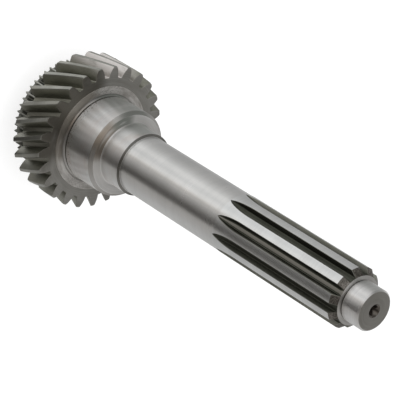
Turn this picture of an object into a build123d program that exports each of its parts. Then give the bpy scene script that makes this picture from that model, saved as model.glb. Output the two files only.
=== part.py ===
"""Input pinion shaft of a truck gearbox, forged and machined in one piece, in millimetres.

The shaft stands on its gear end. The origin is the centre of the end face at the bottom, and +Z runs
up the axis to the nose. From the bottom it has a synchroniser cone, a ring of pointed dog teeth, a
left-hand helical pinion, the main bearing seat, a stepped seat, the plain shaft, the clutch spline
and the pilot journal.
"""

import os
from math import acos, asin, atan, cos, degrees, pi, radians, sin, sqrt, tan

from build123d import *

# Lengths along the axis, from the bottom up
cone_length = 8.0
dog_length = 12.2
neck_length = 2.3
gear_width = 32.0
collar_height = 0.5
hub_length = 31.6
seat_length = 19.6
plain_length = 102.3
spline_length = 122.6
pilot_length = 15.9

# Turned diameters
cone_diameter = 70.0
neck_diameter = 82.0
collar_diameter = 81.4
hub_diameter = 66.7
seat_diameter = 48.0
shaft_diameter = 44.0
spline_diameter = 44.45
shoulder_diameter = 36.0
pilot_diameter = 30.0

# Chamfers, fillets and reliefs of the turned faces
cone_angle = 7.0
cone_edge = 1.0
hub_chamfer = 2.5
seat_fillet = 1.0
seat_step_rise = 0.8
spline_step_rise = 1.0
key_chamfer_length = 4.4
pilot_chamfer = 1.2
pilot_relief_width = 0.9
pilot_relief_depth = 0.4
undercut_radius = 1.5
undercut_seat_depth = 0.5
undercut_face_depth = 0.15

# Blind bore for the output shaft's pilot bearing, and the centre hole in the nose
bore_diameter = 47.0
bore_depth = 38.0
bore_chamfer = 1.5
centre_guard_diameter = 9.6
centre_guard_depth = 0.7
centre_cone_diameter = 7.6
centre_drill_diameter = 3.6
centre_drill_depth = 9.0
centre_cone_angle = 60.0
drill_point_angle = 118.0

# Helical pinion
gear_teeth = 25
normal_module = 3.8
helix_angle = 23.5
pressure_angle = 20.0
addendum_factor = 1.05
dedendum_factor = 1.25
gear_root_fillet = 1.0
gear_end_chamfer = 0.8
gear_phase = -124.1
flank_points = 5

# Dog teeth, pointed towards the bottom
dog_teeth = 54
dog_tip_diameter = 89.4
dog_root_diameter = 84.0
dog_space_width = 0.8
dog_flank_angle = 30.0
dog_point_angle = 45.0
dog_phase = -2.5

# Clutch spline
spline_keys = 10
key_width = 6.6
spline_root_diameter = 36.2
groove_fillet = 1.2
groove_phase = -13.3

# Run-out of each groove, where the cutter left the bar: stations as shares of its length, and how it tapers
run_out_length = 22.0
run_out_margin = 1.1
run_out_stations = (0, 0.25, 0.5, 0.7, 0.85, 0.95, 1)
run_out_lift = 0.05
run_out_tip_share = 0.02
run_out_taper_power = 0.75

# How far a cutting shape reaches past the surface that it cuts
overrun = 1.5

# Stations along the axis
z_cone_top = cone_length
z_dog_top = z_cone_top + dog_length
z_gear_bottom = z_dog_top + neck_length
z_gear_top = z_gear_bottom + gear_width
z_collar = z_gear_top + collar_height
z_hub_top = z_collar + hub_length
z_seat_top = z_hub_top + seat_length
z_plain_top = z_seat_top + plain_length
z_spline_top = z_plain_top + spline_length
z_nose = z_spline_top + pilot_length


def polar(radius: float, angle: float) -> tuple[float, float]:
    """Point at a radius and an angle in radians."""
    return radius * cos(angle), radius * sin(angle)


def involute(angle: float) -> float:
    """Involute function of an angle in radians."""
    return tan(angle) - angle


def turned_blank() -> Part:
    """The turned body, from half of its outer section, with the centre hole in its nose."""
    cone_r, neck_r, collar_r = cone_diameter / 2, neck_diameter / 2, collar_diameter / 2
    hub_r, seat_r, shaft_r = hub_diameter / 2, seat_diameter / 2, shaft_diameter / 2
    spline_r, shoulder_r, pilot_r = spline_diameter / 2, shoulder_diameter / 2, pilot_diameter / 2
    guard_r, centre_r = centre_guard_diameter / 2, centre_cone_diameter / 2
    drill_r = centre_drill_diameter / 2
    relief_r = pilot_r - pilot_relief_depth
    cone_end_r = cone_r - cone_length * tan(radians(cone_angle))
    cone_edge_r = cone_end_r + cone_edge * tan(radians(cone_angle))
    inside_dogs = (z_cone_top + z_dog_top) / 2
    inside_gear = (z_gear_bottom + z_gear_top) / 2
    centre_cone_depth = centre_guard_depth + (centre_r - drill_r) / tan(radians(centre_cone_angle / 2))
    drill_point = drill_r / tan(radians(drill_point_angle / 2))
    below_fillet = [
        (0, 0),
        (cone_end_r - cone_edge, 0),
        (cone_edge_r, cone_edge),
        (cone_r, z_cone_top),
        (cone_r, inside_dogs),
        (neck_r, inside_dogs),
        (neck_r, inside_gear),
        (collar_r, inside_gear),
        (collar_r, z_collar),
        (hub_r, z_collar),
        (hub_r, z_hub_top - hub_chamfer),
        (hub_r - hub_chamfer, z_hub_top),
        (seat_r + seat_fillet, z_hub_top),
    ]
    above_fillet = [
        (seat_r, z_hub_top + seat_fillet),
        (seat_r, z_seat_top - seat_step_rise),
        (shaft_r, z_seat_top),
        (shaft_r, z_plain_top),
        (spline_r, z_plain_top + spline_step_rise),
        (spline_r, z_spline_top - key_chamfer_length),
        (shoulder_r, z_spline_top),
        (relief_r, z_spline_top),
        (relief_r, z_spline_top + pilot_relief_width - pilot_relief_depth),
        (pilot_r, z_spline_top + pilot_relief_width),
        (pilot_r, z_nose - pilot_chamfer),
        (pilot_r - pilot_chamfer, z_nose),
        (guard_r, z_nose),
        (centre_r, z_nose - centre_guard_depth),
        (drill_r, z_nose - centre_cone_depth),
        (drill_r, z_nose - centre_drill_depth),
        (0, z_nose - centre_drill_depth - drill_point),
        (0, 0),
    ]
    with BuildSketch(Plane.XZ) as section:
        with BuildLine():
            Polyline(*below_fillet)
            RadiusArc(below_fillet[-1], above_fillet[0], seat_fillet)
            Polyline(*above_fillet)
        make_face()
    return revolve(section.sketch, Axis.Z)


def end_bore() -> Part:
    """Blind bore in the gear end, with a chamfered mouth."""
    bore_r = bore_diameter / 2
    with BuildSketch(Plane.XZ) as section:
        with BuildLine():
            Polyline(
                (0, -overrun),
                (bore_r + bore_chamfer + overrun, -overrun),
                (bore_r, bore_chamfer),
                (bore_r, bore_depth),
                (0, bore_depth),
                close=True,
            )
        make_face()
    return revolve(section.sketch, Axis.Z)


def hub_undercut() -> Part:
    """Round relief in the corner between the bearing seat and the collar, cut into both."""
    centre_r = hub_diameter / 2 + undercut_radius - undercut_seat_depth
    centre_z = z_collar + undercut_radius - undercut_face_depth
    with BuildSketch(Plane.XZ) as ring:
        with Locations((centre_r, centre_z)):
            Circle(undercut_radius)
    return revolve(ring.sketch, Axis.Z)


def gear_outline() -> Face:
    """Transverse outline of the pinion: involute flanks, root fillets and concentric tips and roots."""
    helix = radians(helix_angle)
    pitch_r = gear_teeth * normal_module / cos(helix) / 2
    tip_r = pitch_r + addendum_factor * normal_module
    root_r = pitch_r - dedendum_factor * normal_module
    transverse = atan(tan(radians(pressure_angle)) / cos(helix))
    base_r = pitch_r * cos(transverse)
    tooth_angle = 2 * pi / gear_teeth

    def half_angle(radius: float) -> float:
        """Half of a tooth's angle at a radius on or above the base circle."""
        return tooth_angle / 4 + involute(transverse) - involute(acos(min(1.0, base_r / radius)))

    fillet_end_r = sqrt((root_r + gear_root_fillet) ** 2 - gear_root_fillet**2)
    flank_r = max(base_r, fillet_end_r)
    fillet_angle = asin(gear_root_fillet / (root_r + gear_root_fillet))
    radii = [flank_r + (tip_r - flank_r) * i / (flank_points - 1) for i in range(flank_points)]
    start = half_angle(flank_r)
    with BuildSketch() as outline:
        with BuildLine():
            for tooth in range(gear_teeth):
                centre = tooth * tooth_angle
                rising = [polar(r, centre - half_angle(r)) for r in radii]
                falling = [polar(r, centre + half_angle(r)) for r in reversed(radii)]
                if flank_r > fillet_end_r:
                    rising_root = polar(fillet_end_r, centre - start)
                    falling_root = polar(fillet_end_r, centre + start)
                    Line(rising_root, rising[0])
                    Line(falling[-1], falling_root)
                else:
                    rising_root, falling_root = rising[0], falling[-1]
                Spline(*rising)
                ThreePointArc(rising[-1], polar(tip_r, centre), falling[0])
                Spline(*falling)
                root_start = polar(root_r, centre + start + fillet_angle)
                root_end = polar(root_r, centre + tooth_angle - start - fillet_angle)
                RadiusArc(falling_root, root_start, -gear_root_fillet)
                ThreePointArc(root_start, polar(root_r, centre + tooth_angle / 2), root_end)
                next_root = polar(fillet_end_r, centre + tooth_angle - start)
                RadiusArc(root_end, next_root, -gear_root_fillet)
        make_face()
    return outline.face()


def helical_gear() -> Part:
    """Left-hand helical pinion: the outline twisted up the face width, tips chamfered at both ends."""
    pitch_r = gear_teeth * normal_module / cos(radians(helix_angle)) / 2
    tip_r = pitch_r + addendum_factor * normal_module
    twist = degrees(gear_width * tan(radians(helix_angle)) / pitch_r)
    teeth = Solid.extrude_linear_with_rotation(gear_outline(), (0, 0, 0), (0, 0, gear_width), -twist)
    teeth = Location((0, 0, z_gear_bottom)) * Rotation(0, 0, gear_phase + twist) * teeth
    edge_r = tip_r - gear_end_chamfer
    with BuildSketch(Plane.XZ) as section:
        with BuildLine():
            Polyline(
                (0, z_gear_bottom),
                (edge_r, z_gear_bottom),
                (tip_r + gear_end_chamfer, z_gear_bottom + 2 * gear_end_chamfer),
                (tip_r + gear_end_chamfer, z_gear_top - 2 * gear_end_chamfer),
                (edge_r, z_gear_top),
                (0, z_gear_top),
                close=True,
            )
        make_face()
    return teeth & revolve(section.sketch, Axis.Z)


def dog_ring() -> Part:
    """Ring of straight dog teeth, left between tapered spaces, each one pointed at its lower end."""
    tip_r, root_r = dog_tip_diameter / 2, dog_root_diameter / 2
    outer_r = tip_r + overrun
    tooth_angle = 2 * pi / dog_teeth
    # Each wall leans by the flank angle from its tooth's middle, which half a pitch turns from the space's
    slope = tan(radians(dog_flank_angle) + tooth_angle / 2)
    half_floor = dog_space_width / 2
    half_outer = half_floor + (outer_r - root_r) * slope
    with BuildSketch() as outline:
        Circle(tip_r)
        with PolarLocations(0, dog_teeth, start_angle=degrees(tooth_angle / 2)):
            Polygon(
                (root_r, -half_floor),
                (outer_r, -half_outer),
                (outer_r, half_outer),
                (root_r, half_floor),
                align=None,
                mode=Mode.SUBTRACT,
            )
    ring = extrude(outline.sketch, dog_length)
    half_pitch = tip_r * tooth_angle / 2
    notch_rise = half_pitch / tan(radians(dog_point_angle))
    notch_outline = Polyline(
        (-half_pitch, -overrun),
        (-half_pitch, 0),
        (0, notch_rise),
        (half_pitch, 0),
        (half_pitch, -overrun),
        close=True,
    )
    notch = extrude(Plane.YZ.offset(root_r) * make_face(notch_outline), tip_r - root_r + overrun)
    notches = [Rotation(0, 0, degrees((i + 0.5) * tooth_angle)) * notch for i in range(dog_teeth)]
    return Location((0, 0, z_cone_top)) * Rotation(0, 0, dog_phase) * (ring - notches)


def groove_section(height: float, floor_r: float, inset: float) -> Face:
    """Cross section of the space between two keys at a height, opening outwards along +X.

    The walls are parallel to the middle planes of the keys beside them. The floor lies on a circle
    about the axis. A positive inset narrows the space on both sides.
    """
    slope = tan(pi / spline_keys)
    wall = key_width / 2 / cos(pi / spline_keys) + inset
    top_r = spline_diameter / 2 + overrun
    # Where the wall, whose half width is slope times reach minus wall, meets the floor circle
    reach = (slope * wall + sqrt((1 + slope**2) * floor_r**2 - wall**2)) / (1 + slope**2)
    half = slope * reach - wall
    half_top = slope * top_r - wall
    profile = make_face(
        [
            ThreePointArc((reach, -half), (floor_r, 0), (reach, half)),
            Line((reach, half), (top_r, half_top)),
            Line((top_r, half_top), (top_r, -half_top)),
            Line((top_r, -half_top), (reach, -half)),
        ]
    )
    corners = profile.vertices().sort_by(Axis.X)[:2]
    rounded = fillet(corners, min(groove_fillet, half / 2))
    return Location((0, 0, height)) * rounded.face()


def spline_grooves() -> list[Part]:
    """The spaces between the keys: a straight run from the front, then a rising and narrowing run-out."""
    spline_r, root_r = spline_diameter / 2, spline_root_diameter / 2
    z_end = z_plain_top + run_out_margin
    z_full = z_end + run_out_length
    half_top = tan(pi / spline_keys) * spline_r - key_width / 2 / cos(pi / spline_keys)
    straight = extrude(groove_section(z_full, root_r, 0), z_spline_top - z_full + overrun)
    sections = []
    for share in run_out_stations:
        open_share = 1 - share**2
        floor_r = spline_r + run_out_lift - (spline_r + run_out_lift - root_r) * open_share
        inset = half_top * (1 - max(open_share, run_out_tip_share) ** run_out_taper_power)
        sections.append(groove_section(z_full - share * run_out_length, floor_r, inset))
    run_out = loft(sections)
    return [
        Rotation(0, 0, groove_phase + i * 360 / spline_keys) * piece
        for i in range(spline_keys)
        for piece in (straight, run_out)
    ]


def pinion_shaft() -> Part:
    """The whole shaft as one solid."""
    body = turned_blank() + dog_ring() + helical_gear()
    return body - end_bore() - hub_undercut() - spline_grooves()


os.makedirs("parts", exist_ok=True)
export_step(pinion_shaft(), "parts/pinion_shaft.step")
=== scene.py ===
"""Looks of a gearbox pinion shaft: one closed steel skin, its finishes, the light and the camera.

The skin is a stack of rings about the axis. It starts on the floor of the bore, turns round the gear end,
climbs the dog teeth, the helical pinion, the bearing seats and the splined bar, and ends in the centre hole
of the nose. Lengths are in millimetres until the mesh is made, and +Z runs up the axis.
"""

import logging
from dataclasses import dataclass, field
from enum import Enum
from math import acos, asin, atan, cos, pi, radians, sin, sqrt, tan

import bpy
import numpy as np
from mathutils import Matrix, Vector

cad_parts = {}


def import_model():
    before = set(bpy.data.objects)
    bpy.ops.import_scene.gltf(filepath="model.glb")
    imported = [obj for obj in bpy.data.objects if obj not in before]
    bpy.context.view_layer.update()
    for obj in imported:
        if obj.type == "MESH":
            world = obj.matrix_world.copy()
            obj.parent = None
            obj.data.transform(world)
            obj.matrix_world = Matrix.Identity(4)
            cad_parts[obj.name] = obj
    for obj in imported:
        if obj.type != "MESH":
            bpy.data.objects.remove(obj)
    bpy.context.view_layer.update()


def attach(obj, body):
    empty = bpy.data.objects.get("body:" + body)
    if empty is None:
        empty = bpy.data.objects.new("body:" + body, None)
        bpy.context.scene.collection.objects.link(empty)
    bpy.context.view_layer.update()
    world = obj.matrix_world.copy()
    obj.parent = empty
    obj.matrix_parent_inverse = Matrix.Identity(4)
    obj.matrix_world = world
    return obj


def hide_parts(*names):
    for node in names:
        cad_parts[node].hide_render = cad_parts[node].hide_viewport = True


LOG = logging.getLogger("pinion_shaft")
Array = np.ndarray
Pair = tuple[float, float]
Triple = tuple[float, float, float]
Colour = Triple
Piece = bpy.types.Object
Socket = bpy.types.NodeSocket
Value = Socket | float | tuple[float, ...]

MM = 0.001
FULL_TURN = 360
SHARP_ANGLE = 38.0
EDGE_STEPS = 3
LATHE_COLUMNS = 240


class Finish(Enum):
    """Finishes of the shaft, numbered as the material slots of its mesh."""

    BAR = 0
    SEAT = 1
    SHOULDER = 2
    COLLAR = 3
    PINION_FACE = 4
    FLANK = 5
    TIP = 6
    DOG = 7
    CONE = 8
    LAND = 9
    GROOVE = 10
    KEY_END = 11
    JOURNAL = 12
    NOSE = 13
    CENTRE = 14
    RELIEF = 15
    STEP = 16
    EDGE = 17
    # The groove corners and floors carry painted shade, and the floors also carry a strip of painted light.
    GROOVE_CORNER = 18
    GROOVE_FLOOR = 19
    JOURNAL_FOOT = 20


@dataclass(frozen=True)
class Corner:
    """Corner of a turned section.

    Args:
        radius: distance from the axis.
        height: place along the axis.
        edge: how far the rounded edge reaches back from the corner.
        finish: finish of the skin from this corner to the next one.
    """

    radius: float
    height: float
    edge: float
    finish: Finish


def ring(radius: Array, angle: Array, height: Array) -> Array:
    """Points at a radius, an angle in radians and a height, as one array with x, y and z last."""
    radius, angle, height = np.broadcast_arrays(radius, angle, height)
    return np.stack([radius * np.cos(angle), radius * np.sin(angle), height], axis=-1)


def rounded_section(corners: list[Corner], steps: int) -> tuple[Array, Array]:
    """Rows of a turned section whose corners are rounded by quadratic curves.

    Each curve starts one edge length before its corner, ends one edge length after it and is pulled towards
    the corner: (1 - t) squared times the start, plus 2 t (1 - t) times the corner, plus t squared times the
    end.

    Args:
        corners: the corners from the first to the last.
        steps: spans of each rounded edge.

    Returns:
        Rows of radius and height, and the slot number of the strip that follows each row.
    """
    points = np.array([(c.radius, c.height) for c in corners])
    edges = np.array([c.edge for c in corners])
    towards = np.diff(points, axis=0)
    towards /= np.linalg.norm(towards, axis=1, keepdims=True)
    before = np.vstack([towards[:1], towards])
    after = np.vstack([towards, towards[-1:]])
    t = np.linspace(0, 1, steps + 1)[None, :, None]
    start = (points - before * edges[:, None])[:, None]
    end = (points + after * edges[:, None])[:, None]
    rows = (1 - t) ** 2 * start + 2 * t * (1 - t) * points[:, None] + t**2 * end
    kept = np.ones(rows.shape[:2], bool)
    kept[edges == 0, 1:] = False
    return rows[kept], np.repeat(slots([c.finish for c in corners]), kept.sum(axis=1))


def slots(finishes: list[Finish]) -> Array:
    """Slot numbers of a list of finishes."""
    return np.array([finish.value for finish in finishes])


def shares(points: int, first: int = 0) -> Array:
    """Row of even shares from 0 to 1, without those before the first one asked for."""
    return np.linspace(0, 1, points)[None, first:]


def mirrored(half: Array, sign: int = 1) -> Array:
    """Half outline along the last axis, out from its middle, put after its mirror image times a sign."""
    return np.concatenate([sign * half[..., :0:-1], half[..., :-1]], axis=-1)


def spread(angle: Array, count: int, first: float) -> Array:
    """Rows of angles about one middle, repeated about a number of middles round the turn."""
    middles = first + np.arange(count) * (2 * pi / count)
    return (middles[None, :, None] + angle[:, None]).reshape(len(angle), -1)


def mirrored_slots(half: list[Finish], strips: int, count: int) -> Array:
    """Slot numbers of a mirrored half outline, repeated round the turn and over a number of strips."""
    numbers = slots(half)
    return np.tile(np.concatenate([numbers[::-1], numbers]), (strips, count))


def quad_strips(lower: int, upper: int, columns: int, strips: int) -> Array:
    """Quads between closed rows of points, strip after strip.

    Args:
        lower: number of the first point in the lower row of the first strip.
        upper: number of the first point in its upper row.
        columns: points in each row.
        strips: number of strips.

    Returns:
        Rows of four point numbers.
    """
    j = np.arange(columns)
    after = (j + 1) % columns
    one = np.stack([lower + j, lower + after, upper + after, upper + j], axis=1)
    steps = (np.arange(strips) * columns)[:, None, None]
    return (one[None] + steps).reshape(-1, 4)


def zipper(lower: Array, upper: Array) -> Array:
    """Triangles between two closed rings that have different numbers of points.

    The sides of both rings are sorted by the angle of their middles. Each side makes one triangle with the
    point that the walk has reached on the other ring.

    Args:
        lower: points of the ring that the skin comes from.
        upper: points of the ring that it goes to.

    Returns:
        Rows of three point numbers, where the upper ring's points are numbered after the lower ring's.
    """
    turn = 2 * pi
    low = np.unwrap(np.arctan2(lower[:, 1], lower[:, 0]))
    high = np.arctan2(upper[:, 1], upper[:, 0])
    first = int(np.argmin(np.abs((high - low[0] + pi) % turn - pi)))
    high = np.unwrap(np.roll(high, -first))
    high += turn * np.round((low[0] - high[0]) / turn)
    low_sides = (low + np.append(low[1:], low[0] + turn)) / 2
    high_sides = (high + np.append(high[1:], high[0] + turn)) / 2
    is_low = np.argsort(np.concatenate([low_sides, high_sides]), kind="stable") < len(low)
    i = np.cumsum(is_low) - is_low
    j = np.cumsum(~is_low) - ~is_low
    at_low, next_low = i % len(low), (i + 1) % len(low)
    at_high = len(low) + (j + first) % len(high)
    next_high = len(low) + (j + 1 + first) % len(high)
    third = np.where(is_low, at_high, next_high)
    return np.stack([at_low, np.where(is_low, next_low, third), np.where(is_low, third, at_high)], axis=1)


@dataclass
class Skin:
    """Closed skin made of rings, each joined to the one before it."""

    points: list[Array] = field(default_factory=list)
    quads: list[Array] = field(default_factory=list)
    triangles: list[Array] = field(default_factory=list)
    quad_finish: list[Array] = field(default_factory=list)
    triangle_finish: list[Array] = field(default_factory=list)
    count: int = 0
    last: Array | None = None
    last_first: int = 0

    def pole(self, height: float, finish: Finish, first: bool, following: Array | None = None) -> None:
        """Close the skin with a fan about one point on the axis.

        Args:
            height: height of the point.
            finish: finish of the fan.
            first: true where the skin starts, false where it ends.
            following: the first ring, given where the skin starts.
        """
        self.points.append(np.array([[0.0, 0.0, height]]))
        centre = self.count
        self.count += 1
        if first:
            ring_size = len(following)
            around = centre + 1 + np.arange(ring_size)
            fan = np.stack([np.full(ring_size, centre), np.roll(around, -1), around], axis=1)
        else:
            ring_size = len(self.last)
            around = self.last_first + np.arange(ring_size)
            fan = np.stack([around, np.roll(around, -1), np.full(ring_size, centre)], axis=1)
        self.triangles.append(fan)
        self.triangle_finish.append(np.full(ring_size, finish.value))

    def add(self, grid: Array, numbers: Array, join: Finish) -> None:
        """Add a band of rings.

        Args:
            grid: rows of rings, shaped (rows, columns, 3).
            numbers: slot numbers of the faces between the rows, shaped (rows - 1, 1) or (rows - 1, columns).
            join: finish of the strip between the ring before and the first row.
        """
        rows, columns = grid.shape[:2]
        if self.last is not None:
            if len(self.last) == columns:
                self._strips(self.last_first, self.count, columns, np.array([[join.value]]))
            else:
                faces = zipper(self.last, grid[0])
                shift = np.where(faces < len(self.last), self.last_first, self.count - len(self.last))
                self.triangles.append(faces + shift)
                self.triangle_finish.append(np.full(len(faces), join.value))
        if rows > 1:
            self._strips(self.count, self.count + columns, columns, numbers)
        self.points.append(grid.reshape(-1, 3))
        self.last = grid[-1]
        self.last_first = self.count + (rows - 1) * columns
        self.count += rows * columns

    def _strips(self, lower: int, upper: int, columns: int, numbers: Array) -> None:
        """Join rows of equal length by quads, one strip for each row of slot numbers."""
        self.quads.append(quad_strips(lower, upper, columns, len(numbers)))
        self.quad_finish.append(np.broadcast_to(numbers, (len(numbers), columns)).ravel())

    def mesh(self, name: str) -> bpy.types.Mesh:
        """The skin as a mesh in metres, smooth but for its sharp edges.

        Args:
            name: name of the mesh.

        Returns:
            The new mesh.
        """
        quads, triangles = np.concatenate(self.quads), np.concatenate(self.triangles)
        corners = np.concatenate([quads.ravel(), triangles.ravel()]).astype(np.int32)
        sizes = np.concatenate([np.full(len(quads), 4), np.full(len(triangles), 3)])
        starts = np.concatenate([[0], np.cumsum(sizes)[:-1]]).astype(np.int32)
        finish = np.concatenate([*self.quad_finish, *self.triangle_finish]).astype(np.int32)
        points = (np.concatenate(self.points) * MM).astype(np.float32)
        mesh = bpy.data.meshes.new(name)
        mesh.vertices.add(len(points))
        mesh.vertices.foreach_set("co", points.ravel())
        mesh.loops.add(len(corners))
        mesh.loops.foreach_set("vertex_index", corners)
        mesh.polygons.add(len(sizes))
        mesh.polygons.foreach_set("loop_start", starts)
        mesh.update(calc_edges=True)
        mesh.polygons.foreach_set("material_index", finish)
        mesh.shade_smooth()
        mesh.set_sharp_from_angle(angle=radians(SHARP_ANGLE))
        mesh.validate()
        return mesh


def turned(corners: list[Corner]) -> tuple[Array, Array]:
    """Band of rings made by turning a section about the axis, and the slot numbers between its rows.

    Args:
        corners: the corners of the section, from the first to the last.

    Returns:
        The rings, shaped (rows, columns, 3), and the slot numbers, shaped (rows - 1, 1).
    """
    rows, numbers = rounded_section(corners, EDGE_STEPS)
    angle = np.arange(LATHE_COLUMNS) * 2 * pi / LATHE_COLUMNS
    return ring(rows[:, :1], angle[None], rows[:, 1:]), numbers[:-1, None]


@dataclass
class GearEnd:
    """Blind bore, end face and synchroniser cone."""

    bore_radius: float = 23.5
    bore_depth: float = 38.0
    bore_chamfer: float = 1.5
    cone_radius: float = 35.0
    cone_length: float = 8.0
    cone_angle: float = 7.0
    cone_edge: float = 1.0
    floor_edge: float = 0.5
    mouth_edge: float = 0.2
    end_edge: float = 0.25
    foot_edge: float = 0.3
    face_reach: float = 1.0

    def add_to(self, skin: Skin) -> None:
        """Start the skin on the bore's floor and bring it round to the top of the cone.

        Args:
            skin: the skin so far, which grows by this part.
        """
        slope = tan(radians(self.cone_angle))
        end_radius = self.cone_radius - self.cone_length * slope
        corners = [
            Corner(self.bore_radius / 2, self.bore_depth, 0, Finish.CONE),
            Corner(self.bore_radius, self.bore_depth, self.floor_edge, Finish.SEAT),
            Corner(self.bore_radius, self.bore_chamfer, self.mouth_edge, Finish.JOURNAL_FOOT),
            Corner(self.bore_radius + self.bore_chamfer, 0, self.mouth_edge, Finish.JOURNAL_FOOT),
            Corner(end_radius - self.cone_edge, 0, self.end_edge, Finish.CONE),
            Corner(end_radius + self.cone_edge * slope, self.cone_edge, self.end_edge, Finish.CONE),
            Corner(self.cone_radius, self.cone_length, self.foot_edge, Finish.PINION_FACE),
            Corner(self.cone_radius + self.face_reach, self.cone_length, 0, Finish.PINION_FACE),
        ]
        grid, numbers = turned(corners)
        skin.pole(self.bore_depth, Finish.CONE, True, grid[0])
        skin.add(grid, numbers, Finish.CONE)


@dataclass
class DogRing:
    """Ring of straight dog teeth with slanted flanks, pointed towards the bottom, and the neck above it."""

    bottom: float = 8.0
    length: float = 12.2
    neck_length: float = 2.3
    neck_radius: float = 41.0
    teeth: int = 54
    tip_radius: float = 44.7
    root_radius: float = 42.0
    space_width: float = 0.8
    flank_angle: float = 30.0
    point_angle: float = 45.0
    phase: float = -2.5
    edge: float = 0.18
    rim: float = 0.4
    neck_edge: float = 0.3
    foot_rise: float = 0.25
    foot_share: float = 0.1
    bevel_start: float = 0.35
    bevel_share: float = 0.05
    bevel_rise: float = 0.45
    bevel_depth: float = 0.12
    bevel_end: float = 0.7
    tip_strips: int = 2
    flank_strips: int = 3

    def _tooth(self) -> tuple[Array, Array]:
        """Points of half a tooth and half its space, out from the tooth's middle.

        The wall is a straight line. Seen from the middle of the space, its angle at a radius is its lean less
        the arc sine of its distance from the axis over the radius.

        Returns:
            The radius of each point, and its distance from the tooth's middle along its circle.
        """
        half_pitch = pi / self.teeth
        lean = radians(self.flank_angle) + half_pitch
        off_axis = self.root_radius * sin(lean) - self.space_width / 2 * cos(lean)
        radius = np.array([self.tip_radius] * 2 + [self.tip_radius - self.edge, self.root_radius + self.edge]
                          + [self.root_radius] * 2)
        wall = radius * (half_pitch - lean + np.arcsin(off_axis / radius))
        place = wall + self.edge * np.array([0, -1, 0, 0, 1, 0])
        place[0], place[-1] = 0, self.root_radius * half_pitch
        return radius, place

    def add_to(self, skin: Skin) -> None:
        """Add the toothed ring and its neck.

        Args:
            skin: the skin so far, which grows by this part.
        """
        radius, place = self._tooth()
        radius, place = mirrored(radius), mirrored(place, -1)
        angle = spread((place / radius)[None], self.teeth, radians(self.phase)).ravel()
        radius, place = np.tile(radius, self.teeth), np.tile(place, self.teeth)
        point = np.abs(place) / tan(radians(self.point_angle))
        top = self.bottom + self.length
        in_tooth = np.clip((radius - self.root_radius) / (self.tip_radius - self.root_radius), 0, 1)
        start = self.bottom + point
        bevel = self.root_radius + (radius - self.root_radius) * self.bevel_share
        toothed = [
            ring(self.root_radius - self.rim, angle, self.bottom),
            ring(self.root_radius, angle, self.bottom + self.foot_rise + self.foot_share * point),
            ring(bevel, angle, start + self.bevel_start),
            ring(radius - self.bevel_depth * in_tooth, angle, start + self.bevel_rise),
            ring(radius, angle, start + self.bevel_end),
            ring(radius, angle, top - self.edge),
            ring(radius - self.edge, angle, top),
        ]
        neck = [
            ring(self.neck_radius + self.neck_edge, angle, top),
            ring(self.neck_radius, angle, top + self.neck_edge),
            ring(self.neck_radius, angle, top + self.neck_length - self.neck_edge),
            ring(self.neck_radius + self.neck_edge, angle, top + self.neck_length),
        ]
        rows = toothed + neck
        half = [Finish.TIP] * self.tip_strips + [Finish.DOG] * self.flank_strips
        numbers = mirrored_slots(half, len(rows) - 1, self.teeth)
        numbers[len(toothed) - 1:] = Finish.PINION_FACE.value
        skin.add(np.stack(rows), numbers, Finish.PINION_FACE)


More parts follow.
